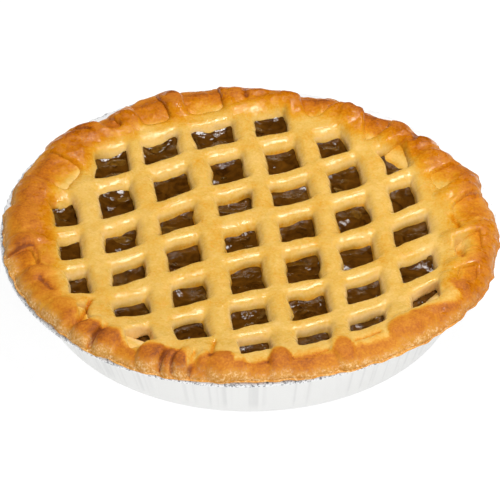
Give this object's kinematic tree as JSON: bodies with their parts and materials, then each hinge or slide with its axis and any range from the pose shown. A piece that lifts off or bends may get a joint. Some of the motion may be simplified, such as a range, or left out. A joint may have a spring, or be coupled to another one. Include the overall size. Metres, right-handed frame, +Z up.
{
  "type": "lattice apple pie in foil tin",
  "caption": "Round lattice-topped apple pie with a browned, lobed rim and a dark glossy apple filling, in the plain foil tin it was baked in.",
  "frame": {"origin": "middle of the tin's flat base, on the surface it stands on", "axes": "+Z up through the middle of the pie; the lattice's slanted strips rise to the right, 24 degrees from +X; -Y is the front"},
  "size_m": [0.2282, 0.2282, 0.0399],
  "materials": {
    "foil": "bright crinkled foil",
    "browned_crust": "matt browned crust",
    "apple_jelly": "wet glossy jelly",
    "golden_pastry": "egg-washed satin"
  },
  "bodies": {
    "root": {"foil_tin": "foil", "pastry_case": "browned_crust", "apple_filling": "apple_jelly", "lattice_top": "golden_pastry"}
  },
  "joints": []
}
